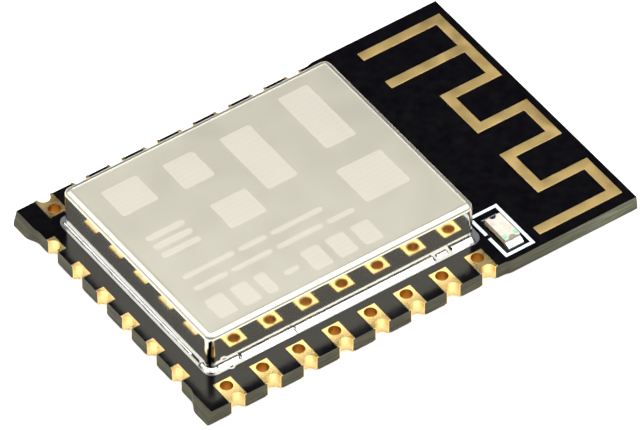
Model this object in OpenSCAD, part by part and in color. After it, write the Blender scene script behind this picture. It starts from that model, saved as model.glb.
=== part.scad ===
// Surface-mount wifi module: a small circuit board with castellated solder pads on three
// edges, a folded metal shield can over its chips, and a meander antenna etched at its end.
// Frame: +X along the board towards the antenna, +Z up out of the component side, origin on
// the underside at the centre of the bounding box. All sizes in millimetres.

/* [Board] */
// Width of the board across the antenna end
board_w = 15.9; // [14:0.1:19]
// Thickness of the laminate
board_t = 0.8; // [0.6:0.1:1.6]
// How far the milled long edges stand inside the board's full width, each side
side_recess = 0.09; // [0:0.01:0.15]
// How far the snapped corner ears reach past the milled pad end
ear_reach = 0.29; // [0.1:0.01:0.5]
// Outward flare of a snapped end, from its top edge to its foot
snap_flare = 0.22; // [0:0.01:0.25]
// The same flare at the antenna end
antenna_flare = 0.1; // [0:0.01:0.25]
// Straight length of a corner ear along the end
ear_w = 0.95; // [0.5:0.05:1.2]
// Length over which an ear blends back to the milled end
ear_blend = 0.8; // [0.3:0.05:1]
// Radius of the board's corners
corner_r = 0.08; // [0:0.01:0.2]

/* [Edge pads] */
// Distance from one pad to the next
pad_pitch = 2; // [1.6:0.1:2.54]
// Pads along each long side
side_pads = 8; // [4:1:8]
// Pads along the end
end_pads = 6; // [2:2:6]
// Distance from the milled end to the first side pad's centre
first_pad_gap = 1.41; // [1.3:0.01:2]
// Finished diameter of the half holes in the edge
half_hole_d = 0.7; // [0.5:0.01:0.9]
// Width of land left on each side of a half hole
pad_side_ring = 0.13; // [0.08:0.01:0.2]
// Finished diameter of the plated hole inside each side pad
via_d = 0.62; // [0.3:0.01:0.8]
// Land left between a side pad's half hole and its plated hole
via_web = 0.27; // [0.15:0.01:0.4]
// Land left inboard of a side pad's plated hole
via_ring = 0.07; // [0.05:0.01:0.2]
// Land left inboard of an end pad's half hole
end_ring = 0.06; // [0.04:0.01:0.3]
// Thickness of the copper lands and tracks
copper_t = 0.035; // [0.02:0.005:0.07]
// Thickness of the plating inside the holes
plating_t = 0.03; // [0.02:0.005:0.05]
// Depth of the underside lands below the solder mask's face
mask_recess = 0.01; // [0.005:0.005:0.03]

/* [Shield can] */
// Length of the can
shield_l = 14.88; // [12:0.01:18]
// Height of the can above its solder land
shield_h = 2.1; // [1.9:0.05:3]
// Thickness of the can's sheet
sheet_t = 0.2; // [0.1:0.01:0.25]
// Outside radius of the folds round the top
fold_r = 0.26; // [0.25:0.01:0.5]
// Outside radius of the can's corners in plan
can_corner_r = 0.38; // [0.3:0.01:0.6]
// Width of the open slit down each corner
slit_w = 0.11; // [0.05:0.01:0.2]
// Height of closed sheet above a corner slit
slit_top = 0.32; // [0.27:0.01:0.6]
// Gap from the milled pad end to the can
shield_end_gap = 1.26; // [1.1:0.01:2]
// Gap from the front milled edge to the can
shield_front_gap = 2.08; // [1.9:0.01:2.6]
// Gap from the back milled edge to the can
shield_back_gap = 1.79; // [1.6:0.01:2.6]
// Width of the two relief notches in the foot of the end wall
notch_w = 1.32; // [0.8:0.01:2]
// Height of the relief notches
notch_h = 0.12; // [0.05:0.01:0.3]
// Distance from the end wall's corner to a relief notch
notch_inset = 0.78; // [0.5:0.01:1.5]
// Reach of the solder land in front of the can
land_front = 0.35; // [0.2:0.01:0.4]
// Reach of the solder land past the can's other walls
land_side = 0.22; // [0.15:0.01:0.3]
// Width of the solder land under the can, inboard of its outer face
land_inner = 0.4; // [0.3:0.01:0.6]
// Height of the solder fillet against the front wall
fillet_h = 0.12; // [0.06:0.01:0.3]

/* [Antenna] */
// Width of the antenna track
track_w = 0.54; // [0.3:0.01:0.6]
// Gap from the can to the antenna's feet
feed_gap = 2.5; // [2.2:0.05:4]
// Length of the two feet before the first turn
foot_l = 1.52; // [0.8:0.01:2]
// Depth of the meander towards the board's end
meander_l = 3.18; // [2:0.01:4]
// Bare board between the meander and the board's end
antenna_end_gap = 0.37; // [0.2:0.01:0.8]
// Bare board between the antenna and the back edge
antenna_back_gap = 0.8; // [0.5:0.01:1.2]
// Bare board between the antenna and the front edge
antenna_front_gap = 0.59; // [0.5:0.01:1.2]
// Spacing of the two rows joined on the can's side
inner_turn = 2.5; // [1.5:0.05:3]

/* [Indicator light] */
// Length of the light across the board
led_l = 1.65; // [1.4:0.05:2]
// Width of the light
led_w = 0.84; // [0.6:0.02:1]
// Thickness of the light's base
led_base_t = 0.17; // [0.1:0.01:0.3]
// Thickness of the light's lens
led_lens_t = 0.15; // [0.1:0.01:0.6]
// Diameter of the half-round notch in each end
led_notch_d = 0.36; // [0.2:0.02:0.5]
// Distance from the can to the light's centreline
led_gap = 1.19; // [0.9:0.01:1.5]
// Distance from the front milled edge to the light's centre
led_inset = 1.63; // [1.3:0.01:2]
// Reach of the solder past each end of the light
led_fillet = 0.28; // [0.15:0.01:0.35]
// Thickness of the solder under every part
solder_t = 0.03; // [0.01:0.01:0.06]

/* [Parts under the can] */
// Side of the square radio chip
radio_l = 5; // [4:0.5:6]
// Thickness of the radio chip
radio_t = 0.85; // [0.5:0.05:1]
// Terminals on each side of the radio chip
radio_terminals = 8; // [4:1:8]
// Pitch of the radio chip's terminals
radio_pitch = 0.5; // [0.4:0.05:0.5]
// Length of the memory chip's body
memory_l = 4.9; // [4:0.1:6]
// Width of the memory chip's body
memory_w = 3.9; // [3:0.1:5]
// Thickness of the memory chip's body
memory_t = 1.35; // [1:0.05:1.5]
// Width of the memory chip over its leads
memory_span = 6; // [5:0.1:7]
// Length of the crystal's case
crystal_l = 2.5; // [2:0.1:3.2]
// Width of the crystal's case
crystal_w = 2; // [1.6:0.1:2.5]
// Length of a chip capacitor, resistor or coil
chip_l = 1; // [0.6:0.1:1.2]
// Width of a chip capacitor, resistor or coil
chip_w = 0.5; // [0.3:0.05:0.6]
// Distance from one such part to the next
chip_pitch = 1.5; // [1.4:0.1:2]
// Clearance from the can's inside to the parts
part_gap = 0.35; // [0.2:0.05:0.5]

/* [Hidden] */
EPS = 0.01;
BIG = 60;
ARC_STEPS = 6;
$fn = 48;

// --- heights
top_z = board_t;
land_z = board_t + copper_t;
part_z = land_z + solder_t;
can_top_z = land_z + shield_h;

// --- edge pads
half_r = half_hole_d / 2;
via_r = via_d / 2;
pad_w = half_hole_d + 2 * pad_side_ring;
via_setback = half_r + via_web + via_r;
side_land_l = via_setback + via_r + via_ring;
end_land_l = half_r + end_ring;

// --- plan of the board, from the milled pad end towards the antenna
shield_to_last_pad = 0.25;
pad_row_l = first_pad_gap + (side_pads - 1) * pad_pitch + pad_w / 2 + shield_to_last_pad;
can_zone_l = max(shield_end_gap + shield_l, pad_row_l);
board_l = ear_reach + can_zone_l + feed_gap + foot_l + meander_l + antenna_end_gap + antenna_flare;
x_left = -board_l / 2;
x_right = board_l / 2;
x_milled = x_left + ear_reach;
x_zone = x_milled + can_zone_l;
half_w = board_w / 2;
milled_half_w = half_w - side_recess;
x_step = x_milled + first_pad_gap + (side_pads - 1) * pad_pitch + pad_w / 2 + 0.3;
step_l = 0.5;

// --- shield can
can_x0 = x_milled + shield_end_gap;
can_x1 = can_x0 + shield_l;
can_y0 = -milled_half_w + shield_front_gap;
can_y1 = milled_half_w - shield_back_gap;
can_w = can_y1 - can_y0;
inner_x0 = can_x0 + sheet_t;
inner_x1 = can_x1 - sheet_t;
inner_y0 = can_y0 + sheet_t;
inner_y1 = can_y1 - sheet_t;
// two small stitching holes in the land, at the can's front corner
stitch_d = 0.2;
stitch_ring_d = 0.42;
stitch_holes = [[can_x0 + 0.06, can_y0 - 0.06], [can_x0 + 1.03, can_y0 - 0.24]];
// breaks between the front solder beads, measured back from the can's antenna end
bead_break_1 = [2.62, 2.3];
bead_break_2 = [1.66, 1.46];

// --- antenna rows, from the back edge to the front
ant_x0 = x_zone + feed_gap;
ant_x1 = ant_x0 + foot_l;
ant_x2 = ant_x1 + meander_l;
antenna_span = board_w - antenna_back_gap - antenna_front_gap - track_w;
outer_turn = (antenna_span - 2 * inner_turn) / 4;
row_y0 = half_w - antenna_back_gap - track_w / 2;
row_steps = [0, outer_turn, outer_turn, inner_turn, outer_turn, inner_turn, outer_turn];
function row_y(k) = k == 0 ? row_y0 : row_y(k - 1) - row_steps[k];

// --- indicator light
led_x = x_zone + led_gap;
led_y = -milled_half_w + led_inset;
led_land_l = 0.42;
led_fillet_h = 0.16;

// --- parts under the can
memory_x = inner_x0 + part_gap + memory_span / 2;
memory_y = (inner_y0 + inner_y1) / 2;
lead_w = 0.4;
lead_t = 0.2;
lead_foot = 0.7;
lead_pitch = 1.27;
memory_standoff = 0.12;
radio_x = inner_x1 - part_gap - radio_l / 2;
radio_y = inner_y0 + part_gap + chip_w + 0.3 + radio_l / 2;
radio_standoff = 0.02;
terminal_w = 0.25;
terminal_l = 0.4;
thermal_l = radio_l - 2;
crystal_x = inner_x1 - part_gap - crystal_l / 2;
crystal_y = inner_y1 - part_gap - crystal_w / 2;
crystal_base_t = 0.3;
crystal_lid_t = 0.2;
crystal_wall = 0.2;
front_row_y = inner_y0 + part_gap + chip_w / 2;
back_row_y = inner_y1 - part_gap - chip_w / 2;
front_row_x = inner_x1 - part_gap - chip_l / 2;
back_row_x = crystal_x - crystal_l / 2 - 0.3 - chip_l / 2;
end_cap_l = 0.24;
end_cap_t = 0.02;
capacitor_spots = [for (i = [0:4]) [front_row_x - i * chip_pitch, front_row_y]];
resistor_spots = [for (i = [0:2]) [back_row_x - i * chip_pitch, back_row_y]];
coil_spots = [for (i = [3:4]) [back_row_x - i * chip_pitch, back_row_y]];
capacitor_h = 0.5;
resistor_h = 0.35;
coil_h = 0.5;

pad_count = 2 * side_pads + end_pads;
function two_digits(n) = n < 10 ? str("0", n) : str(n);

// ---------------------------------------------------------------- shared shapes

// points of an arc about a centre, from one angle to another
function arc(c, r, a0, a1) =
    [for (i = [0:ARC_STEPS]) let (a = a0 + (a1 - a0) * i / ARC_STEPS) c + r * [cos(a), sin(a)]];

// points of a smooth S from p to q; `along` is 0 when it leaves along X and 1 when along Y
function s_curve(p, q, along) =
    [for (i = [0:ARC_STEPS]) let (t = i / ARC_STEPS, s = (1 - cos(180 * t)) / 2)
        along == 0 ? [p.x + (q.x - p.x) * t, p.y + (q.y - p.y) * s]
                   : [p.x + (q.x - p.x) * s, p.y + (q.y - p.y) * t]];

// rectangle from (x0, y0) to (x1, y1) with rounded corners
module round_rect(x0, y0, x1, y1, r) {
    polygon(concat(
        arc([x0 + r, y0 + r], r, 180, 270),
        arc([x1 - r, y0 + r], r, 270, 360),
        arc([x1 - r, y1 - r], r, 0, 90),
        arc([x0 + r, y1 - r], r, 90, 180)
    ));
}

// box from one corner to the opposite one
module box(p, q) {
    translate(p) cube(q - p);
}

// straight track from p to q, one of its coordinates shared, with square ends
module track(p, q, w) {
    low = [min(p.x, q.x), min(p.y, q.y)] - [w / 2, w / 2];
    high = [max(p.x, q.x), max(p.y, q.y)] + [w / 2, w / 2];
    translate(low) square(high - low);
}

// a round disc of land or solder on the board's plan
module dot(p, d) {
    translate(p) circle(d = d);
}

// ---------------------------------------------------------------- board

// the board's outline below its centreline, from the milled end to the antenna end
function lower_outline() = concat(
    [[x_milled, 0]],
    s_curve([x_milled, -milled_half_w + ear_w + ear_blend], [x_left, -milled_half_w + ear_w], 1),
    arc([x_left + corner_r, -milled_half_w + corner_r], corner_r, 180, 270),
    s_curve([x_step, -milled_half_w], [x_step + step_l, -half_w], 0),
    arc([x_right - corner_r, -half_w + corner_r], corner_r, 270, 360),
    [[x_right, 0]]
);

// the same points across the centreline, in reverse, so that the two halves close one outline
function upper_outline() = let (low = lower_outline())
    [for (i = [len(low) - 2:-1:1]) [low[i].x, -low[i].y]];

module board_outline() {
    polygon(concat(lower_outline(), upper_outline()));
}

// side profile of the board: its snapped ends lean outwards towards the foot
module snapped_profile() {
    polygon([
        [x_left, 0],
        [x_right, 0],
        [x_right - antenna_flare, board_t],
        [x_left + snap_flare, board_t]
    ]);
}

module board_blank() {
    intersection() {
        linear_extrude(board_t) board_outline();
        translate([0, BIG / 2, 0]) rotate([90, 0, 0]) linear_extrude(BIG) snapped_profile();
    }
}

// everything the board gives up for one pad, in the pad's own frame
module pad_cut(with_via) {
    land_l = with_via ? side_land_l : end_land_l;
    translate([0, 0, -EPS]) cylinder(r = half_r + plating_t, h = board_t + 2 * EPS);
    if (with_via)
        translate([0, via_setback, -EPS]) cylinder(r = via_r + plating_t, h = board_t + 2 * EPS);
    box([-pad_w / 2, -1, -EPS], [pad_w / 2, land_l, mask_recess + copper_t]);
}

module circuit_board() {
    color("#141216")
    difference() {
        board_blank();
        for (n = [1:pad_count])
            at_pad(n) pad_cut(is_side(n));
        for (p = stitch_holes)
            translate([p.x, p.y, -EPS]) cylinder(d = stitch_d, h = board_t + 2 * EPS);
    }
}

// ---------------------------------------------------------------- edge pads

// pads are numbered round the board: down the back edge, along the end, up the front edge
function is_side(n) = n <= side_pads || n > side_pads + end_pads;

function side_x(i) = x_milled + first_pad_gap + i * pad_pitch;

function pad_place(n) =
    n <= side_pads ? [side_x(side_pads - n), milled_half_w, 180]
    : n <= side_pads + end_pads
        ? [x_milled, ((end_pads - 1) / 2 - (n - side_pads - 1)) * pad_pitch, -90]
        : [side_x(n - side_pads - end_pads - 1), -milled_half_w, 0];

module at_pad(n) {
    place = pad_place(n);
    translate([place.x, place.y, 0]) rotate(place.z) children();
}

// a pad's own frame: the board's edge runs along X through the origin, and +Y is inboard
module pad_land(land_l, z) {
    box([-pad_w / 2, 0, z], [pad_w / 2, land_l, z + copper_t]);
}

module pad_barrel(r) {
    translate([0, 0, mask_recess]) cylinder(r = r + plating_t, h = land_z - mask_recess);
}

module edge_pad(n) {
    land_l = is_side(n) ? side_land_l : end_land_l;
    color("#D9B45E")
    at_pad(n)
    difference() {
        union() {
            pad_land(land_l, board_t);
            pad_land(land_l, mask_recess);
            intersection() {
                pad_barrel(half_r);
                box([-pad_w / 2, 0, 0], [pad_w / 2, land_l, land_z]);
            }
            if (is_side(n))
                translate([0, via_setback, 0]) pad_barrel(via_r);
        }
        translate([0, 0, -EPS]) cylinder(r = half_r, h = BIG);
        translate([0, via_setback, -EPS])
            if (is_side(n)) cylinder(r = via_r, h = BIG);
    }
}

// ---------------------------------------------------------------- antenna

module antenna_trace() {
    x_in = ant_x1 + track_w / 2;
    x_out = ant_x2 - track_w / 2;
    color("#BFA05A")
    translate([0, 0, board_t])
    linear_extrude(copper_t) {
        // the two feet and the track down the board's end that joins them
        for (k = [0:1])
            track([ant_x0 + track_w / 2, row_y(k)], [x_out, row_y(k)], track_w);
        track([x_out, row_y(0)], [x_out, row_y(2)], track_w);
        // rows of the meander, joined in turn on the can's side and at the board's end
        for (k = [2:5])
            track([x_in, row_y(k)], [x_out, row_y(k)], track_w);
        for (k = [2, 4])
            track([x_in, row_y(k)], [x_in, row_y(k + 1)], track_w);
        for (k = [3, 5])
            track([x_out, row_y(k)], [x_out, row_y(k + 1)], track_w);
        // the free tail
        track([ant_x0 + track_w / 2, row_y(6)], [x_out, row_y(6)], track_w);
    }
}

// ---------------------------------------------------------------- shield can

module land_ring() {
    difference() {
        union() {
            round_rect(can_x0 - land_side, can_y0 - land_front,
                       can_x1 + land_side, can_y1 + land_side, 0.5);
            for (p = stitch_holes)
                dot(p, stitch_ring_d);
        }
        translate([can_x0 + land_inner, can_y0 + land_inner])
            square([shield_l - 2 * land_inner, can_w - 2 * land_inner]);
        for (p = stitch_holes)
            dot(p, stitch_d);
    }
}

module shield_land() {
    color("#C9CCCF")
    translate([0, 0, board_t]) linear_extrude(copper_t) land_ring();
}

// a tray, open below, with folds of radius r round its top and corners of radius cr in plan
module folded_box(x0, y0, x1, y1, z0, z1, r, cr) {
    intersection() {
        translate([0, y1, 0]) rotate([90, 0, 0]) linear_extrude(y1 - y0)
            fold_profile(x0, x1, z0, z1, r);
        translate([x0, 0, 0]) rotate([90, 0, 90]) linear_extrude(x1 - x0)
            fold_profile(y0, y1, z0, z1, r);
        translate([0, 0, z0]) linear_extrude(z1 - z0) round_rect(x0, y0, x1, y1, cr);
    }
}

module fold_profile(a0, a1, z0, z1, r) {
    polygon(concat(
        [[a0, z0], [a1, z0]],
        arc([a1 - r, z1 - r], r, 0, 90),
        arc([a0 + r, z1 - r], r, 90, 180)
    ));
}

module corner_slits() {
    inset = can_corner_r * (1 - cos(45));
    for (x = [can_x0 + inset, can_x1 - inset], y = [can_y0 + inset, can_y1 - inset])
        translate([x, y, land_z - EPS])
            rotate(x < can_x1 - 1 ? (y < can_y1 - 1 ? 45 : -45) : (y < can_y1 - 1 ? -45 : 45))
                translate([-2 * sheet_t, -slit_w / 2, 0])
                    cube([4 * sheet_t, slit_w, shield_h - slit_top + EPS]);
}

module relief_notches() {
    for (y = [can_y0 + notch_inset, can_y1 - notch_inset - notch_w])
        box([can_x0 - 1, y, land_z - EPS], [can_x0 + sheet_t + 0.1, y + notch_w, land_z + notch_h]);
}

module shield_can() {
    color("#CFCBBC")
    difference() {
        folded_box(can_x0, can_y0, can_x1, can_y1, land_z, can_top_z, fold_r, can_corner_r);
        folded_box(inner_x0, inner_y0, inner_x1, inner_y1, land_z - 1, can_top_z - sheet_t,
                   fold_r - sheet_t, can_corner_r - sheet_t);
        corner_slits();
        relief_notches();
    }
}

// section of the front fillet: a wetted slope from the can's wall down to the land's edge
module fillet_section() {
    reach = land_front - 0.03;
    polygon([
        [0, 0],
        [reach, 0],
        [reach, 0.03],
        [reach * 0.75, fillet_h * 0.45],
        [reach * 0.4, fillet_h * 0.75],
        [0, fillet_h]
    ]);
}

module front_bead(x0, x1) {
    translate([x0, can_y0, land_z]) rotate([90, 0, 90]) mirror([1, 0, 0])
        linear_extrude(x1 - x0) fillet_section();
}

module shield_solder() {
    bead_x0 = can_x0 + can_corner_r;
    color("#E9EBEE")
    difference() {
        union() {
            front_bead(bead_x0, can_x1 - bead_break_1[0]);
            front_bead(can_x1 - bead_break_1[1], can_x1 - bead_break_2[0]);
            front_bead(can_x1 - bead_break_2[1], can_x1 - can_corner_r);
        }
        for (p = stitch_holes)
            translate([p.x, p.y, 0]) cylinder(d = stitch_d + 0.12, h = BIG);
    }
}

// ---------------------------------------------------------------- indicator light

// the light's own frame: its centre at the origin, its length along Y
module at_led() {
    translate([led_x, led_y, 0]) children();
}

module led_slab(l, z, t) {
    difference() {
        box([-led_w / 2, -l / 2, z], [led_w / 2, l / 2, z + t]);
        for (s = [-1, 1])
            translate([0, s * led_l / 2, 0]) cylinder(d = led_notch_d, h = BIG);
    }
}

module led_lands() {
    color("#C9CCCF")
    at_led() for (s = [0, 1]) mirror([0, s, 0])
        box([-led_w / 2, led_l / 2 + led_fillet - led_land_l, board_t],
            [led_w / 2, led_l / 2 + led_fillet, land_z]);
}

module led_base() {
    color("#E6DDB8")
    at_led() led_slab(led_l, part_z, led_base_t);
}

module led_lens() {
    color("#ECE6DC")
    at_led() led_slab(led_l - 0.04, part_z + led_base_t, led_lens_t);
}

module led_solder() {
    land_in = led_l / 2 + led_fillet - led_land_l;
    color("#F2F3F5")
    at_led() for (s = [0, 1]) mirror([0, s, 0]) {
        box([-led_w / 2, land_in, land_z], [led_w / 2, led_l / 2, part_z]);
        translate([-led_w / 2, led_l / 2, land_z]) rotate([90, 0, 90])
            linear_extrude(led_w)
                polygon([[0, 0], [led_fillet, 0], [led_fillet, 0.03],
                         [led_fillet * 0.5, led_fillet_h * 0.7], [0, led_fillet_h]]);
        intersection() {
            translate([0, led_l / 2, part_z])
                cylinder(d = led_notch_d, h = led_fillet_h - solder_t);
            box([-led_w / 2, 0, 0], [led_w / 2, led_l / 2, BIG]);
        }
    }
}

// ---------------------------------------------------------------- parts under the can

// places its children at each spot in turn
module at_each(spots) {
    for (p = spots)
        translate([p.x, p.y, 0]) children();
}

module chip_body(h) {
    box([-chip_l / 2 + end_cap_t, -chip_w / 2 + end_cap_t, part_z + end_cap_t],
        [chip_l / 2 - end_cap_t, chip_w / 2 - end_cap_t, part_z + h - end_cap_t]);
}

module chip_ends(h) {
    difference() {
        for (s = [0, 1]) mirror([s, 0, 0])
            box([chip_l / 2 - end_cap_l, -chip_w / 2, land_z],
                [chip_l / 2, chip_w / 2, part_z + h]);
        chip_body(h);
    }
}

module chip_lands() {
    for (s = [0, 1]) mirror([s, 0, 0])
        box([chip_l / 2 - end_cap_l - 0.04, -chip_w / 2 - 0.04, board_t],
            [chip_l / 2 + 0.1, chip_w / 2 + 0.04, land_z]);
}

// one child at the place of each of the radio chip's terminals, +Y pointing out of the chip
module at_radio_terminals() {
    translate([radio_x, radio_y, 0])
        for (side = [0:3], i = [0:radio_terminals - 1])
            rotate(90 * side)
                translate([(i - (radio_terminals - 1) / 2) * radio_pitch, radio_l / 2, 0])
                    children();
}

module at_memory_leads() {
    translate([memory_x, memory_y, 0])
        for (s = [0, 1], i = [0:3])
            mirror([s, 0, 0])
                translate([memory_w / 2, (i - 1.5) * lead_pitch, 0]) children();
}

module component_lands() {
    color("#C9A24E") {
        at_each(concat(capacitor_spots, resistor_spots, coil_spots)) chip_lands();
        at_radio_terminals()
            box([-terminal_w / 2, -terminal_l, board_t], [terminal_w / 2, 0.1, land_z]);
        translate([radio_x, radio_y, board_t])
            translate([-thermal_l / 2, -thermal_l / 2, 0]) cube([thermal_l, thermal_l, copper_t]);
        reach = (memory_span - memory_w) / 2;
        at_memory_leads()
            box([reach - lead_foot, -lead_w / 2, board_t], [reach + 0.1, lead_w / 2, land_z]);
        translate([crystal_x, crystal_y, 0])
            for (x = [-1, 1], y = [-1, 1])
                translate([x * (crystal_l / 2 - 0.4), y * (crystal_w / 2 - 0.35), 0])
                    box([-0.4, -0.35, board_t], [0.4, 0.35, part_z]);
    }
}

module radio_chip() {
    color("#26262A")
    translate([radio_x - radio_l / 2, radio_y - radio_l / 2, part_z + radio_standoff])
        cube([radio_l, radio_l, radio_t]);
}

module radio_chip_terminals() {
    color("#C8CBD0") {
        at_radio_terminals()
            box([-terminal_w / 2, -terminal_l, land_z], [terminal_w / 2, 0, part_z + radio_standoff]);
        translate([radio_x - thermal_l / 2, radio_y - thermal_l / 2, land_z])
            cube([thermal_l, thermal_l, solder_t + radio_standoff]);
    }
}

module memory_chip() {
    color("#26262A")
    translate([memory_x - memory_w / 2, memory_y - memory_l / 2, part_z + memory_standoff])
        cube([memory_w, memory_l, memory_t]);
}

// gull-wing lead, drawn from the body's side outwards
module memory_lead() {
    reach = (memory_span - memory_w) / 2;
    shoulder = part_z + memory_standoff + memory_t * 0.45;
    rotate([90, 0, 0]) translate([0, 0, -lead_w / 2]) linear_extrude(lead_w) polygon([
        [0, shoulder],
        [reach - lead_foot, shoulder],
        [reach - lead_foot + lead_t, land_z + lead_t],
        [reach, land_z + lead_t],
        [reach, land_z],
        [reach - lead_foot, land_z],
        [reach - lead_foot - lead_t, shoulder - lead_t],
        [0, shoulder - lead_t]
    ]);
}

module memory_chip_leads() {
    color("#C8CBD0")
    at_memory_leads() memory_lead();
}

module crystal_base() {
    color("#7D6F5C")
    translate([crystal_x - crystal_l / 2, crystal_y - crystal_w / 2, part_z])
        cube([crystal_l, crystal_w, crystal_base_t]);
}

module crystal_lid() {
    color("#D2D3D0")
    translate([crystal_x, crystal_y, part_z + crystal_base_t]) linear_extrude(crystal_lid_t)
        round_rect(-crystal_l / 2 + crystal_wall, -crystal_w / 2 + crystal_wall,
                   crystal_l / 2 - crystal_wall, crystal_w / 2 - crystal_wall, 0.2);
}

module capacitor(n) {
    color("#B79A6B") at_each([capacitor_spots[n - 1]]) chip_body(capacitor_h);
}

module resistor(n) {
    color("#1E1E20") at_each([resistor_spots[n - 1]]) chip_body(resistor_h);
}

module coil(n) {
    color("#4C5A66") at_each([coil_spots[n - 1]]) chip_body(coil_h);
}

module capacitor_ends() {
    color("#C8CBD0") at_each(capacitor_spots) chip_ends(capacitor_h);
}

module resistor_ends() {
    color("#C8CBD0") at_each(resistor_spots) chip_ends(resistor_h);
}

module coil_ends() {
    color("#C8CBD0") at_each(coil_spots) chip_ends(coil_h);
}

// ---------------------------------------------------------------- assembly

circuit_board();
for (n = [1:pad_count])
    edge_pad(n);
antenna_trace();
shield_land();
shield_can();
shield_solder();
led_lands();
led_base();
led_lens();
led_solder();
component_lands();
radio_chip();
radio_chip_terminals();
memory_chip();
memory_chip_leads();
crystal_base();
crystal_lid();
for (n = [1:5])
    capacitor(n);
for (n = [1:3])
    resistor(n);
for (n = [1:2])
    coil(n);
capacitor_ends();
resistor_ends();
coil_ends();
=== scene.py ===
# Wifi module: a small black circuit board with gold solder pads, a folded metal shield can
# and a meander antenna. Pieces are modelled in millimetres and brought to metres when done.
import math

import bmesh
import bpy
from mathutils import Matrix, Vector, noise


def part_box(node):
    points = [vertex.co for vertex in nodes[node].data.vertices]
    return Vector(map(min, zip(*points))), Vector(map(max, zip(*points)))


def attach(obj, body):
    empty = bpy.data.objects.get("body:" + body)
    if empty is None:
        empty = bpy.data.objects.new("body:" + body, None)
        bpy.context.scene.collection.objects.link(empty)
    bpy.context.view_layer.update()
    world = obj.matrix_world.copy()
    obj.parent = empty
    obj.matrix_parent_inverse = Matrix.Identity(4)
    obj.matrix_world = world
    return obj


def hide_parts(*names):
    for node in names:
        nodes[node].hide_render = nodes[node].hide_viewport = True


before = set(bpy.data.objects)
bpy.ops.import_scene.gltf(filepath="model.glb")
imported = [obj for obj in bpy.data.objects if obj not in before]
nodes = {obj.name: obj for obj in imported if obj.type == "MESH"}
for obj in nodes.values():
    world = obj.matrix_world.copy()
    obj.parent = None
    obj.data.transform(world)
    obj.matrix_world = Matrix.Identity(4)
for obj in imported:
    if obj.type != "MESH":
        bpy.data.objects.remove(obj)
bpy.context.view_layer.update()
print("frame loaded:", len(nodes), "nodes")


# small tools

def linear(code):  # sRGB hex to the linear colour that a shader takes
    parts = [int(code[i:i + 2], 16) / 255 for i in (1, 3, 5)]
    return [p / 12.92 if p <= 0.04045 else ((p + 0.055) / 1.055) ** 2.4 for p in parts] + [1.0]


def corners(node):  # lowest and highest corner of a CAD node, in millimetres
    low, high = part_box(node)
    return low * 1000, high * 1000


def deselectAll():
    active = bpy.context.view_layer.objects.active
    if active and active.mode != "OBJECT":
        bpy.ops.object.mode_set(mode="OBJECT")
    bpy.ops.object.select_all(action="DESELECT")


def takeUp(piece):  # the only selected object, and the active one
    deselectAll()
    piece.select_set(True)
    bpy.context.view_layer.objects.active = piece


def placed(name, size):  # the primitive just added, stretched to size and applied
    piece = bpy.context.object
    piece.name = piece.data.name = name
    piece.scale = size
    bpy.ops.object.transform_apply(location=True, rotation=True, scale=True)
    return piece


def block(name, low, high):
    deselectAll()
    middle = [(a + b) / 2 for a, b in zip(low, high)]
    bpy.ops.mesh.primitive_cube_add(size=1, location=middle)
    return placed(name, [b - a for a, b in zip(low, high)])


def rod(name, x, y, radius, low, high, sides=48):
    deselectAll()
    bpy.ops.mesh.primitive_cylinder_add(vertices=sides, radius=radius, depth=high - low,
                                        location=(x, y, (low + high) / 2))
    return placed(name, (1, 1, 1))


def pick(piece, kind, test):  # into edit mode, with the parts that pass the test selected
    takeUp(piece)
    bpy.ops.object.mode_set(mode="EDIT")
    bpy.ops.mesh.select_mode(type=kind)
    bpy.ops.mesh.select_all(action="DESELECT")
    mesh = bmesh.from_edit_mesh(piece.data)
    for part in {"VERT": mesh.verts, "EDGE": mesh.edges, "FACE": mesh.faces}[kind]:
        if kind == "FACE":
            part.select_set(test(part.calc_center_median(), part.normal))
        elif kind == "EDGE":
            part.select_set(test(part.verts[0].co, part.verts[1].co))
        else:
            part.select_set(test(part.co))
    bmesh.update_edit_mesh(piece.data)


def leave():
    bpy.ops.object.mode_set(mode="OBJECT")


def use(piece, kind, **settings):  # adds a modifier and applies it
    takeUp(piece)
    modifier = piece.modifiers.new(kind.lower(), kind)
    for name, value in settings.items():
        setattr(modifier, name, value)
    bpy.ops.object.modifier_apply(modifier=modifier.name)


def combine(piece, other, how):
    use(piece, "BOOLEAN", operation=how, solver="EXACT", object=other)
    bpy.data.objects.remove(other)


def easeEdges(piece, width, segments=2, angle=30):
    use(piece, "BEVEL", width=width, segments=segments, limit_method="ANGLE",
        angle_limit=math.radians(angle), miter_outer="MITER_ARC")


def settle(piece, slotName, materials, *replaced):  # to metres, then onto the frame
    takeUp(piece)
    bpy.ops.object.shade_smooth_by_angle(angle=math.radians(40))
    use(piece, "WEIGHTED_NORMAL", keep_sharp=True)
    piece.data.transform(Matrix.Scale(0.001, 4))
    piece.data.materials.clear()
    for material in materials:
        piece.data.materials.append(material)
    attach(piece, "root")
    if replaced:
        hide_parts(*replaced)
    return piece


def near(a, b, within=0.002):
    return abs(a - b) < within


# materials

def addNode(tree, kind, settings, links=()):  # one node with its settings and its links
    node = tree.nodes.new(kind)
    for name, value in settings.items():
        if isinstance(name, int) or name in node.inputs:
            node.inputs[name].default_value = value
        else:
            setattr(node, name, value)
    for name, source in dict(links).items():
        tree.links.new(source, node.inputs[name])
    return node


def newMaterial(name, base, roughness, metallic=0.0, **extra):
    material = bpy.data.materials.new(name)
    material.use_nodes = True
    tree = material.node_tree
    shader = tree.nodes["Principled BSDF"]
    shader.inputs["Base Color"].default_value = linear(base)
    shader.inputs["Roughness"].default_value = roughness
    shader.inputs["Metallic"].default_value = metallic
    for key, value in extra.items():
        shader.inputs[key.replace("_", " ")].default_value = value
    place = addNode(tree, "ShaderNodeTexCoord", {}).outputs["Object"]
    return material, tree, shader, place


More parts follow.
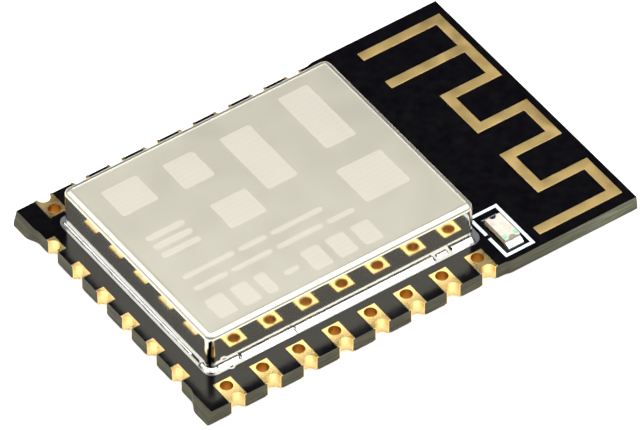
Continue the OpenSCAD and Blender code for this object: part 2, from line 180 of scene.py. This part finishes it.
def grain(tree, place, size, stretch=(1, 1, 1), detail=3.0):  # noise with grains size mm across
    turned = addNode(tree, "ShaderNodeMapping", {"Scale": stretch}, {"Vector": place})
    return addNode(tree, "ShaderNodeTexNoise", {"Scale": 1000 / size, "Detail": detail},
                   {"Vector": turned.outputs["Vector"]}).outputs["Fac"]


def ramp(tree, source, stops):  # colours along a value
    node = addNode(tree, "ShaderNodeValToRGB", {}, {"Fac": source})
    band = node.color_ramp
    while len(band.elements) < len(stops):
        band.elements.new(0.5)
    for element, (position, code) in zip(band.elements, stops):
        element.position = position
        element.color = linear(code)
    return node.outputs["Color"]


def spread(tree, source, low, high, inLow=0.3, inHigh=0.7):  # a value eased between two ends
    return addNode(tree, "ShaderNodeMapRange",
                   {"From Min": inLow, "From Max": inHigh, "To Min": low, "To Max": high},
                   {"Value": source}).outputs["Result"]


def raiseSurface(tree, shader, height, depth, strength=1.0):  # bump, with depth in millimetres
    bump = addNode(tree, "ShaderNodeBump", {"Strength": strength, "Distance": depth / 1000},
                   {"Height": height})
    tree.links.new(bump.outputs["Normal"], shader.inputs["Normal"])


# liquid photoimageable solder mask, black, curtain coated: glossy with a slight orange peel
def makeSolderMask():
    material, tree, shader, place = newMaterial("blackSolderMaskCurtainCoated", "#070609", 0.15,
                                                IOR=1.5)
    peel = grain(tree, place, 0.45, detail=2)
    tone = ramp(tree, peel, [(0.35, "#050407"), (0.7, "#09080B")])
    tree.links.new(tone, shader.inputs["Base Color"])
    tree.links.new(spread(tree, grain(tree, place, 0.9), 0.13, 0.2), shader.inputs["Roughness"])
    raiseSurface(tree, shader, peel, 0.004, 0.5)
    return material


# FR4 laminate, milled and snapped: glass cloth in layers, olive resin, dull cut ends of fibre
def makeLaminate():
    material, tree, shader, place = newMaterial("glassEpoxyLaminateMilledEdge", "#6E7058", 0.62,
                                                IOR=1.5)
    layers = grain(tree, place, 0.35, stretch=(0.25, 0.25, 3.2), detail=4)
    fibres = grain(tree, place, 0.05, stretch=(1, 1, 1.6), detail=2)
    tone = ramp(tree, layers, [(0.3, "#4E4C36"), (0.5, "#6A6A50"), (0.72, "#8B8D74")])
    speck = addNode(tree, "ShaderNodeMix",
                    {"data_type": "RGBA", "blend_type": "OVERLAY", "Factor": 0.45},
                    {"A": tone, "B": ramp(tree, fibres, [(0.3, "#5A5A4E"), (0.75, "#B9BAA6")])})
    # the pad half of the edge is stained browner than the antenna's half, from X 4 to 11 mm
    along = addNode(tree, "ShaderNodeSeparateXYZ", {}, {"Vector": place}).outputs["X"]
    stain = ramp(tree, spread(tree, along, 0.0, 1.0, 0.004, 0.011),
                 [(0.0, "#B0A88C"), (1.0, "#F6F6F2")])
    worn = addNode(tree, "ShaderNodeMix",
                   {"data_type": "RGBA", "blend_type": "MULTIPLY", "Factor": 1.0},
                   {"A": speck.outputs["Result"], "B": stain})
    tree.links.new(worn.outputs["Result"], shader.inputs["Base Color"])
    raiseSurface(tree, shader, fibres, 0.012, 0.6)
    return material


# immersion gold over electroless nickel on copper: soft satin, very fine nickel grain
def makeGold(name, base, roughness):
    material, tree, shader, place = newMaterial(name, base, roughness, 1.0)
    fine = grain(tree, place, 0.06, detail=4)
    cloud = grain(tree, place, 0.8)
    gloss = spread(tree, cloud, roughness - 0.04, roughness + 0.06)
    tree.links.new(gloss, shader.inputs["Roughness"])
    raiseSurface(tree, shader, fine, 0.0015, 0.5)
    return material


# nickel silver sheet, rolled and folded: warm grey, with fine rolling lines across the can.
# Where a laser has marked it, pale hatch lines 0.11 mm apart cover the mark
def makeSheet(name, base, roughness, etched):
    material, tree, shader, place = newMaterial(name, base, roughness, 1.0)
    lines = grain(tree, place, 0.07, stretch=(1, 0.03, 0.03), detail=4)
    cloud = grain(tree, place, 1.6, detail=2)
    fine = addNode(tree, "ShaderNodeMix", {"data_type": "FLOAT", "Factor": 0.4},
                   {"A": lines, "B": grain(tree, place, 0.05)}).outputs["Result"]
    gloss = spread(tree, cloud, roughness - 0.012, roughness + 0.012)
    tree.links.new(gloss, shader.inputs["Roughness"])
    if etched:  # a diagonal band repeats every 0.628 over its scale, in metres
        hatch = addNode(tree, "ShaderNodeTexWave",
                        {"wave_type": "BANDS", "bands_direction": "DIAGONAL",
                         "Scale": 628 / 0.11, "Distortion": 0.0}, {"Vector": place})
        tree.links.new(ramp(tree, hatch.outputs["Fac"], [(0.3, "#C4C0B2"), (0.6, "#D6D2C6")]),
                       shader.inputs["Base Color"])
    raiseSurface(tree, shader, fine, 0.003, 0.5)
    return material


# reflowed tin solder: bright and wet looking, with slight frost and flow ripples
def makeSolder():
    material, tree, shader, place = newMaterial("reflowedTinSolder", "#DADBDB", 0.2, 1.0)
    ripple = grain(tree, place, 0.5, detail=2)
    frost = grain(tree, place, 0.04, detail=3)
    tree.links.new(spread(tree, frost, 0.12, 0.3), shader.inputs["Roughness"])
    raiseSurface(tree, shader, ripple, 0.02, 0.6)
    return material


# legend ink, screen printed epoxy: flat white with slightly uneven cover
def makeInk():
    material, tree, shader, place = newMaterial("whiteLegendInkScreenPrinted", "#D5DEE6", 0.55)
    mesh = grain(tree, place, 0.07)
    tone = ramp(tree, mesh, [(0.3, "#C4CED8"), (0.65, "#E2EAF0")])
    tree.links.new(tone, shader.inputs["Base Color"])
    raiseSurface(tree, shader, mesh, 0.004, 0.4)
    return material


# moulded part or ceramic, one body colour with a fine clouding and a light tooth
def makeMoulded(name, dark, light, roughness, size=0.2, **extra):
    material, tree, shader, place = newMaterial(name, dark, roughness, **extra)
    cloud = grain(tree, place, size)
    tree.links.new(ramp(tree, cloud, [(0.3, dark), (0.7, light)]), shader.inputs["Base Color"])
    raiseSurface(tree, shader, grain(tree, place, 0.04), 0.003, 0.4)
    return material


solderMask = makeSolderMask()
laminate = makeLaminate()
padGold = makeGold("immersionGoldPad", "#F2D594", 0.27)
# a darker orange copy of the pad gold for the via walls: painted shade inside the hole
shadedHoleGold = makeGold("immersionGoldHoleWallPaintedShade", "#C78E35", 0.42)
antennaGold = makeGold("immersionGoldTrack", "#E6C784", 0.36)
canSheet = makeSheet("nickelSilverRolledSheet", "#E6E2D1", 0.4, False)
# the walls' copy of the sheet has a darker base colour than the top's: painted shade. Its low
# roughness is the drawn finish
shadedWallSheet = makeSheet("nickelSilverDrawnWallPaintedShade", "#DAD5C4", 0.1, False)
etchedSheet = makeSheet("nickelSilverLaserEtched", "#D3CFC3", 0.55, True)
solder = makeSolder()
tinnedCopper = makeSheet("hotTinnedCopper", "#C9CCCF", 0.3, False)
legendInk = makeInk()
lensEpoxy = makeMoulded("clearEpoxyLensCast", "#C6BBAF", "#DDD4C9", 0.2, 0.35,
                        Subsurface_Weight=0.25, Subsurface_Scale=0.0002)
baseLaminate = makeMoulded("creamGlassEpoxyBaseSawn", "#C2B184", "#DCCB9C", 0.45, 0.3)
greenMark = makeMoulded("greenPolarityInk", "#7DB89A", "#A2D8BC", 0.4, 0.2)
chipBlack = makeMoulded("blackEpoxyMouldedChip", "#1E1E22", "#2A2A2E", 0.55)
crystalCeramic = makeMoulded("firedAluminaCeramic", "#6E6150", "#84755F", 0.6)
capacitorCeramic = makeMoulded("bariumTitanateCeramic", "#A88B5E", "#C2A578", 0.45)
resistorCeramic = makeMoulded("blackGlazedAlumina", "#151517", "#242428", 0.25)
coilCeramic = makeMoulded("ferriteCeramic", "#44515C", "#55636F", 0.5)
print("materials made:", len(bpy.data.materials))


# the CAD nodes that keep their own shape

def dress(node, slotName, *materials):
    mesh = nodes[node].data
    mesh.materials.clear()
    for material in materials:
        mesh.materials.append(material)


def dressBoard():  # mask on the two flat faces, bare laminate round the edges
    dress("circuit_board", "board_mask", solderMask, laminate)
    for face in nodes["circuit_board"].data.polygons:
        face.material_index = 0 if abs(face.normal.z) > 0.95 else 1


dressBoard()
for name, slotName, material in [
        ("component_lands", "pad_gold", padGold), ("shield_land", "tinned_copper", tinnedCopper),
        ("led_lands", "tinned_copper", tinnedCopper), ("radio_chip", "chip_black", chipBlack),
        ("memory_chip", "chip_black", chipBlack),
        ("radio_chip_terminals", "tinned_copper", tinnedCopper),
        ("memory_chip_leads", "tinned_copper", tinnedCopper),
        ("crystal_base", "crystal_ceramic", crystalCeramic),
        ("crystal_lid", "shield_metal", canSheet),
        ("capacitor_ends", "tinned_copper", solder), ("resistor_ends", "tinned_copper", solder),
        ("coil_ends", "tinned_copper", solder)]:
    dress(name, slotName, material)
for stem, count, slotName, material in [("capacitor_", 5, "capacitor_ceramic", capacitorCeramic),
                                        ("resistor_", 3, "resistor_ceramic", resistorCeramic),
                                        ("coil_", 2, "coil_ceramic", coilCeramic)]:
    for number in range(1, count + 1):
        dress(stem + str(number), slotName, material)
print("CAD nodes dressed")

canLow, canHigh = corners("shield_can")
boardTop = corners("circuit_board")[1].z
landTop = corners("shield_land")[1].z


# edge pads: one side pad and one end pad, copied round the board

edgePad = {
    "holeRadius": 0.35,      # half hole in the board's edge
    "plating": 0.03,         # wall of plating in the holes
    "viaRadius": 0.31,       # hole inside each side pad
    "viaSetback": 0.93,      # from the edge to that hole's middle
    "foil": 0.035,           # thickness of the lands
    "edgeRound": 0.012,      # soft edge of the plated metal
    "clear": 1,              # cutters run this far past the pad
}


def makePad(name, width, length, low, high, withVia):
    # drawn with the board's edge along X through the origin and +Y inboard
    p = edgePad
    foil, plating, clear = p["foil"], p["plating"], p["clear"]
    via, setback = p["viaRadius"], p["viaSetback"]
    pad = block(name, (-width / 2, 0, high - foil), (width / 2, length, high))
    lower = block("lower land", (-width / 2, 0, low), (width / 2, length, low + foil))
    combine(pad, lower, "UNION")
    barrel = rod("barrel", 0, 0, p["holeRadius"] + plating, low, high)
    pick(barrel, "FACE", lambda c, n: True)
    bpy.ops.mesh.bisect(plane_co=(0, 0, 0), plane_no=(0, 1, 0), use_fill=True, clear_inner=True)
    leave()
    combine(pad, barrel, "UNION")
    if withVia:
        combine(pad, rod("via barrel", 0, setback, via + plating, low, high), "UNION")
        combine(pad, rod("via", 0, setback, via, low - clear, high + clear), "DIFFERENCE")
    half = rod("half hole", 0, 0, p["holeRadius"], low - clear, high + clear)
    combine(pad, half, "DIFFERENCE")
    easeEdges(pad, p["edgeRound"], angle=50)
    return pad


def copyPad(master, node, turn):  # 0 is the front row, 180 the back row and -90 the end row
    low, high = corners(node)
    x, y = (low.x + high.x) / 2, (low.y + high.y) / 2
    if turn == 0:
        y = low.y
    elif turn == 180:
        y = high.y
    else:
        x = low.x
    pad = bpy.data.objects.new("plated_" + node[5:], master.data.copy())
    bpy.context.collection.objects.link(pad)
    pose = Matrix.Translation((x, y, 0)) @ Matrix.Rotation(math.radians(turn), 4, "Z")
    pad.data.transform(pose)
    settle(pad, "pad_gold", [padGold, shadedHoleGold], node)
    middle = pose @ Vector((0, edgePad["viaSetback"], 0)) * 0.001
    for face in pad.data.polygons:  # the plating inside the via gets a rougher material, whose darker orange base colour is painted shade
        away = face.center - middle
        inHole = math.hypot(away.x, away.y) < (edgePad["viaRadius"] + 0.01) * 0.001
        face.material_index = int(inHole and abs(face.normal.z) < 0.5)


padNodes = sorted(n for n in nodes if n.startswith("edge_pad_"))
frontEdge = min(corners(name)[0].y for name in padNodes)
backEdge = max(corners(name)[1].y for name in padNodes)
for turn, wanted in [(0, lambda low, high: near(low.y, frontEdge)),
                     (180, lambda low, high: near(high.y, backEdge)),
                     (-90, lambda low, high: high.y - low.y < 1)]:
    group = [name for name in padNodes if wanted(*corners(name))]
    low, high = corners(group[0])
    width, length = high.x - low.x, high.y - low.y
    if turn == -90:
        width, length = length, width
    master = makePad("master pad", width, length, low.z, high.z, turn != -90)
    for node in group:
        copyPad(master, node, turn)
    bpy.data.objects.remove(master)
print("edge pads made:", len(padNodes))


# antenna

def runTrack(name, points, width, low, high, branches=()):
    # a square of track pushed on along each leg, with a square left at every corner
    deselectAll()
    bpy.ops.mesh.primitive_plane_add(size=1, location=(points[0][0], points[0][1], low))
    piece = placed(name, (width, width, 1))
    half = width / 2

    def pushAlong(stops):
        for (x0, y0), (x1, y1) in zip(stops, stops[1:]):
            way = Vector((x1 - x0, y1 - y0, 0))
            step = way.normalized()
            side = Vector((x0, y0, low)) + step * half
            pick(piece, "EDGE", lambda a, b: ((a + b) / 2 - side).length < 0.002
                 and abs((a - b).dot(step)) < 0.001)
            for length in (way.length - width, width):
                bpy.ops.mesh.extrude_region_move(TRANSFORM_OT_translate={"value": step * length})
            leave()

    pushAlong(points)
    for stops in branches:
        pushAlong(stops)
    pick(piece, "FACE", lambda c, n: True)
    bpy.ops.mesh.extrude_region_move(TRANSFORM_OT_translate={"value": (0, 0, high - low)})
    bpy.ops.mesh.select_all(action="SELECT")
    bpy.ops.mesh.remove_doubles(threshold=0.0005)
    bpy.ops.mesh.normals_make_consistent(inside=False)
    leave()
    return piece


antenna = {
    "width": 0.54,           # of the track
    "turnIn": 8.40,          # nearest the can that the meander comes
    "innerTurn": 2.5,        # row spacing of a turn on the can's side
    "edgeRound": 0.016,      # etched edges of the track
}


def makeAntenna():
    low, high = corners("antenna_trace")
    w = antenna["width"]
    far = high.x - w / 2
    foot = low.x + w / 2
    inner = antenna["turnIn"] + w / 2
    top = high.y - w / 2
    outerTurn = (high.y - low.y - w - 2 * antenna["innerTurn"]) / 4  # four turns share the rest
    innerTurn = antenna["innerTurn"]
    rows = [top]
    for step in (outerTurn, outerTurn, innerTurn, outerTurn, innerTurn, outerTurn):
        rows.append(rows[-1] - step)
    walk = [(foot, rows[0]), (far, rows[0]), (far, rows[1]), (far, rows[2]), (inner, rows[2]),
            (inner, rows[3]), (far, rows[3]), (far, rows[4]), (inner, rows[4]), (inner, rows[5]),
            (far, rows[5]), (far, rows[6]), (foot, rows[6])]
    track = runTrack("antenna_track", walk, w, low.z, high.z, [[(far, rows[1]), (foot, rows[1])]])
    easeEdges(track, antenna["edgeRound"], angle=50)
    settle(track, "antenna_gold", [antennaGold], "antenna_trace")


makeAntenna()
print("antenna made")


# shield can

can = {
    "sheet": 0.2,
    "foldRadius": 0.26,      # outside, round the top
    "cornerRadius": 0.38,    # outside, in plan
    "slitTop": 0.32,         # closed sheet above each corner slit
    "slitWide": 0.15,        # slit's width at the foot, and at its top end below
    "slitNarrow": 0.09,
    "notchHeight": 0.12,     # relief notches in the end wall's foot
    "notchWidth": 1.32,
    "notchInset": 0.78,
    "pressInset": 0.05,      # flat border left round the pressed top
    "pressSlope": 0.04,
    "pressDepth": 0.012,
    "edgeRound": 0.014,      # sheared edges of the sheet
}


def makeCan():
    c = can
    low, high = canLow, canHigh
    shell = block("shield_cover", low, high)
    pick(shell, "FACE", lambda m, n: n.z < -0.9)
    bpy.ops.mesh.delete(type="FACE")
    leave()
    pick(shell, "EDGE", lambda a, b: abs(a.z - b.z) > 1)
    bpy.ops.mesh.bevel(offset=c["cornerRadius"], segments=8, affect="EDGES")
    leave()
    pick(shell, "EDGE", lambda a, b: near(a.z, high.z) and near(b.z, high.z))
    bpy.ops.mesh.bevel(offset=c["foldRadius"], segments=6, affect="EDGES")
    leave()
    use(shell, "SOLIDIFY", thickness=c["sheet"], offset=-1, use_even_offset=True)
    pick(shell, "FACE", lambda m, n: n.z > 0.99 and near(m.z, high.z))
    bpy.ops.mesh.inset(thickness=c["pressInset"], depth=0)
    bpy.ops.mesh.inset(thickness=c["pressSlope"], depth=0)
    bpy.ops.transform.translate(value=(0, 0, -c["pressDepth"]))
    leave()
    cutSlits(shell)
    wide = c["notchWidth"]
    for y in (low.y + c["notchInset"], high.y - c["notchInset"] - wide):
        notch = block("notch", (low.x - 1, y, low.z - 1),
                      (low.x + c["sheet"] + 0.1, y + wide, low.z + c["notchHeight"]))
        combine(shell, notch, "DIFFERENCE")
    easeEdges(shell, c["edgeRound"], angle=60)
    settle(shell, "shield_metal", [canSheet, shadedWallSheet], "shield_can")
    for face in shell.data.polygons:  # the walls were drawn smooth, the top keeps its rolled grain; the walls' copy also has a darker base colour than the top, which is painted shade
        face.material_index = 0 if face.normal.z > 0.6 else 1


def cutSlits(shell):
    c = can
    inset = c["cornerRadius"] * (1 - math.cos(math.radians(45)))
    for sx in (-1, 1):
        for sy in (-1, 1):
            x = (canLow.x + inset) if sx < 0 else (canHigh.x - inset)
            y = (canLow.y + inset) if sy < 0 else (canHigh.y - inset)
            slit = block("slit", (-0.5, -c["slitWide"] / 2, canLow.z - 0.5),
                         (0.5, c["slitWide"] / 2, canHigh.z - c["slitTop"]))
            pick(slit, "FACE", lambda m, n: n.z > 0.9)
            bpy.ops.transform.resize(value=(1, c["slitNarrow"] / c["slitWide"], 1))
            leave()
            slit.data.transform(Matrix.Translation((x, y, 0))
                                @ Matrix.Rotation(math.radians(45 * sx * sy), 4, "Z"))
            combine(shell, slit, "DIFFERENCE")


makeCan()
print("shield can made")


# laser marks on the can: plain hatched bars and blocks that say nothing

marks = {
    "thickness": 0.003,      # above the pressed top
    "sink": 0.002,           # below it
    "cornerRound": 0.14,     # or this share of the bar's height, if that is less:
    "roundShare": 0.4,
    "bars": [  # left, right, low and high on the can's top, in millimetres from its corner
        (1.2, 2.2, 0.75, 2.15), (2.6, 3.5, 0.75, 2.15), (3.9, 4.5, 0.75, 2.15),
        (5.2, 6.0, 1.3, 1.6),
        (6.5, 7.5, 0.75, 2.15), (7.9, 8.9, 0.75, 2.15), (9.3, 10.3, 0.75, 2.15),
        (1.3, 3.1, 2.85, 3.15), (3.4, 5.6, 2.85, 3.15), (5.9, 8.4, 2.85, 3.15),
        (8.7, 10.2, 2.85, 3.15),
        (1.3, 4.1, 3.75, 4.05), (4.4, 5.9, 3.75, 4.05), (6.2, 9.0, 3.75, 4.05),
        (10.9, 13.4, 3.0, 5.5),
        (1.3, 3.4, 5.4, 5.75), (1.3, 3.4, 6.05, 6.4), (1.3, 3.4, 6.7, 7.05),
        (4.9, 6.9, 5.2, 7.0),
        (1.3, 3.3, 8.7, 10.6), (4.6, 6.3, 8.5, 10.4),
        (7.7, 9.4, 6.3, 10.3), (11.4, 13.1, 6.9, 10.9),
    ],
}


def makeMarks():
    m = marks
    z = canHigh.z - can["pressDepth"]
    first = None
    for x0, x1, y0, y1 in m["bars"]:
        bar = block("laser_marks", (canLow.x + x0, canLow.y + y0, z - m["sink"]),
                    (canLow.x + x1, canLow.y + y1, z + m["thickness"]))
        pick(bar, "EDGE", lambda a, b: abs(a.z - b.z) > 0.001)
        bpy.ops.mesh.bevel(offset=min(m["cornerRound"], (y1 - y0) * m["roundShare"]),
                           segments=5, affect="EDGES")
        leave()
        if first is None:
            first = bar
        else:
            takeUp(first)
            bar.select_set(True)
            bpy.ops.object.join()
    settle(first, "shield_metal", [etchedSheet])


makeMarks()
print("laser marks made")


# solder beads along the foot of the can

beads = {
    "bottom": landTop,
    "step": 0.06,            # length of one step of the ridge
    "across": 7,             # steps across it
    "toe": 0.012,            # least thickness, at the outer edge
    "endRound": 0.12,        # length over which an end thins out
    "endReach": 0.35,        # share of the reach and of the height left at an end
    "endHeight": 0.25,
    "longRipple": 1.7,       # how fast the ripples follow each other
    "shortRipple": 5,
    "front": [  # left end, right end, reach and height, along the can's front wall
        (-10.1, -8.8, 0.25, 0.1), (-8.8, -5.75, 0.33, 0.12), (-5.8, 2.04, 0.31, 0.12),
        (2.15, 2.8, 0.22, 0.08), (2.94, 4.25, 0.33, 0.13),
    ],
    # round the can's front corner: how far up the end wall and along the front
    "corner": {"climb": 0.7, "along": 0.5, "reach": 0.2, "height": 0.08},
    # the thin line on the end wall, short of the back and of the front corner
    "end": {"backGap": 0.1, "frontGap": 1.4, "reach": 0.1, "height": 0.04, "rough": 0.45},
}


def bead(name, path, reach, height, seed, rough=0.12):
    # a wetted ridge: a grid laid along the path, its foot flat and its top curved down to the edge
    b = beads
    lengths = [0.0]
    for start, end in zip(path, path[1:]):
        lengths.append(lengths[-1] + (end - start).length)
    whole = lengths[-1]
    deselectAll()
    bpy.ops.mesh.primitive_grid_add(x_subdivisions=max(12, int(whole / b["step"])),
                                    y_subdivisions=b["across"], size=1, location=(0.5, 0.5, 0))
    piece = placed(name, (1, 1, 1))
    pick(piece, "FACE", lambda c, n: True)
    bpy.ops.mesh.extrude_region_move(TRANSFORM_OT_translate={"value": (0, 0, 1)})
    bpy.ops.mesh.select_all(action="SELECT")
    bpy.ops.mesh.normals_make_consistent(inside=False)
    leave()
    for vert in piece.data.vertices:
        out, up = vert.co.y, vert.co.z
        walked = vert.co.x * whole
        leg = max(i for i in range(len(path) - 1) if lengths[i] <= walked + 1e-6)
        start, end = path[leg], path[leg + 1]
        base = start.lerp(end, (walked - lengths[leg]) / (lengths[leg + 1] - lengths[leg]))
        way = (end - start).normalized()
        side = Vector((way.y, -way.x, 0))
        slow = noise.noise(Vector((walked * b["longRipple"], seed * 7.3, 0.0)))
        quick = noise.noise(Vector((walked * b["shortRipple"], seed, 3.0)))
        wobble = 1 + rough * (slow + 0.5 * quick)
        ends = min(1.0, min(walked, whole - walked) / b["endRound"])
        ends = math.sqrt(max(0.0, 1 - (1 - ends) ** 2))
        wide = reach * (b["endReach"] + (1 - b["endReach"]) * ends) * wobble
        tall = height * (b["endHeight"] + (1 - b["endHeight"]) * ends) * wobble
        z = b["bottom"]
        if up > 0.5:
            z += b["toe"] + tall * (1 - out) ** 1.5 * (0.8 + 0.2 * math.cos(out * 5))
        vert.co = base + side * (wide * out) + Vector((0, 0, z))
    easeEdges(piece, 0.008, angle=60)
    return piece


def makeBeads():
    wall = canLow.y
    pieces = []
    for number, (x0, x1, reach, height) in enumerate(beads["front"]):
        path = [Vector((x0, wall, 0)), Vector((x1, wall, 0))]
        pieces.append(bead("solder_bead", path, reach, height, number + 1))
    # one bead round the can's front corner and a little way up its end
    corner, end = beads["corner"], beads["end"]
    r = can["cornerRadius"]
    turn = [Vector((canLow.x, canLow.y + corner["climb"], 0)), Vector((canLow.x, canLow.y + r, 0))]
    turn += [Vector((canLow.x + r - r * math.sin(a), canLow.y + r - r * math.cos(a), 0))
             for a in [math.radians(90 - 15 * k) for k in range(1, 6)]]
    turn += [Vector((canLow.x + r, canLow.y, 0)),
             Vector((canLow.x + corner["along"], canLow.y, 0))]
    pieces.append(bead("solder_bead", turn, corner["reach"], corner["height"], 9))
    line = [Vector((canLow.x, y, 0))
            for y in (canHigh.y - end["backGap"], canLow.y + end["frontGap"])]
    pieces.append(bead("solder_bead", line, end["reach"], end["height"], 12, end["rough"]))
    takeUp(pieces[0])
    for piece in pieces:
        piece.select_set(True)
    bpy.ops.object.join()
    settle(pieces[0], "solder", [solder], "shield_solder")


makeBeads()
print("solder beads made")


# indicator light

light = {
    "notchRadius": 0.18,     # plated half holes in its two ends
    "edgeRound": 0.02,
    "markWidth": 0.26,       # polarity marks on the lens's near corners
    "markLength": 0.3,
    "markInset": 0.02,       # from the lens's side
    "markSetback": 0.06,     # from its end
    "markSink": 0.01,
    "markThickness": 0.004,
}


def makeLight():
    m = light
    for node, material, slotName, name in [("led_base", baseLaminate, "led_base", "light_base"),
                                           ("led_lens", lensEpoxy, "led_lens", "light_lens")]:
        low, high = corners(node)
        body = block(name, low, high)
        middle = (low.x + high.x) / 2
        for y in (low.y, high.y):
            notch = rod("notch", middle, y, m["notchRadius"], low.z - 1, high.z + 1, 32)
            combine(body, notch, "DIFFERENCE")
        easeEdges(body, m["edgeRound"], segments=3, angle=50)
        settle(body, slotName, [material], node)
    low, high = corners("led_lens")
    inset, nearEnd = m["markInset"], low.y + m["markSetback"]
    pads = None
    for x0, x1 in [(low.x, low.x + m["markWidth"]), (high.x - m["markWidth"], high.x)]:
        mark = block("light_marks", (x0 + inset, nearEnd, high.z - m["markSink"]),
                     (x1 - inset, nearEnd + m["markLength"], high.z + m["markThickness"]))
        easeEdges(mark, 0.004, angle=50)
        if pads is None:
            pads = mark
        else:
            takeUp(pads)
            mark.select_set(True)
            bpy.ops.object.join()
    settle(pads, "led_lens", [greenMark])


makeLight()
dress("led_solder", "solder", solder)
print("indicator light made")


# printed bracket round the light

legend = {
    "width": 0.17,
    "thickness": 0.012,
    "lines": [  # turning points of the printed lines, in millimetres on the board
        [(4.95, -4.66), (6.33, -4.66), (6.33, -6.08)],
        [(6.33, -6.24), (6.33, -7.56), (4.85, -7.56), (4.85, -6.3)],
        [(4.85, -5.9), (4.85, -4.92)],
    ],
}


def makeLegend():
    joined = None
    for points in legend["lines"]:
        line = runTrack("legend_bracket", points, legend["width"], boardTop,
                        boardTop + legend["thickness"])
        easeEdges(line, 0.003, segments=1, angle=50)
        if joined is None:
            joined = line
        else:
            takeUp(joined)
            line.select_set(True)
            bpy.ops.object.join()
    settle(joined, "led_lens", [legendInk])


makeLegend()
print("legend made")


# floor, lights and camera

stageSet = {  # in metres and watts
    "floorSize": 3.0,
    "floorDrop": 0.000002,   # keeps the floor out of the board's underside
    "overheadHeight": 0.45,
    "overheadSize": 0.46,
    "overheadPower": 3.6,
    "sidePower": 0.7,
    "sideSize": 0.34,
    "rightPlace": (0.20, -0.28, 0.33),
    "leftPlace": (-0.28, 0.20, 0.33),
    "surround": (0.015, 0.015, 0.016, 1),
    "cameraPlace": (-0.20563, -0.29444, 0.36249),
    "cameraTurn": (44.7381, 0.2809, -35.1756),
    "lens": 622.7,
    "sensor": 36,            # millimetres, as the lens
}


def makeStage():
    s = stageSet
    deselectAll()
    bpy.ops.mesh.primitive_plane_add(size=s["floorSize"], location=(0, 0, 0))
    floor = placed("floor", (1, 1, 1))
    floor.data.transform(Matrix.Translation((0, 0, -s["floorDrop"])))
    # matt white background paper, calendered
    floor.data.materials.append(newMaterial("whitePaperSweep", "#F6F6F5", 0.9)[0])
    for name, spot, size, power in [
            ("overhead", (0, 0, s["overheadHeight"]), s["overheadSize"], s["overheadPower"]),
            ("right", s["rightPlace"], s["sideSize"], s["sidePower"]),
            ("left", s["leftPlace"], s["sideSize"], s["sidePower"])]:
        bpy.ops.object.light_add(type="AREA", location=spot)
        lamp = bpy.context.object
        lamp.name = name + "_softbox"
        lamp.data.shape = "DISK"
        lamp.data.size = size
        lamp.data.energy = power
        lamp.rotation_euler = Vector(spot).to_track_quat("Z", "Y").to_euler()
    world = bpy.data.worlds.new("studio")
    bpy.context.scene.world = world
    world.use_nodes = True
    world.node_tree.nodes["Background"].inputs["Color"].default_value = s["surround"]
    bpy.ops.object.camera_add(location=s["cameraPlace"],
                              rotation=[math.radians(a) for a in s["cameraTurn"]])
    camera = bpy.context.object
    camera.data.lens = s["lens"]
    camera.data.sensor_width = s["sensor"]
    camera.data.clip_start = 0.01
    bpy.context.scene.camera = camera
    bpy.context.scene.view_settings.view_transform = "Standard"


makeStage()
deselectAll()
print("stage set")
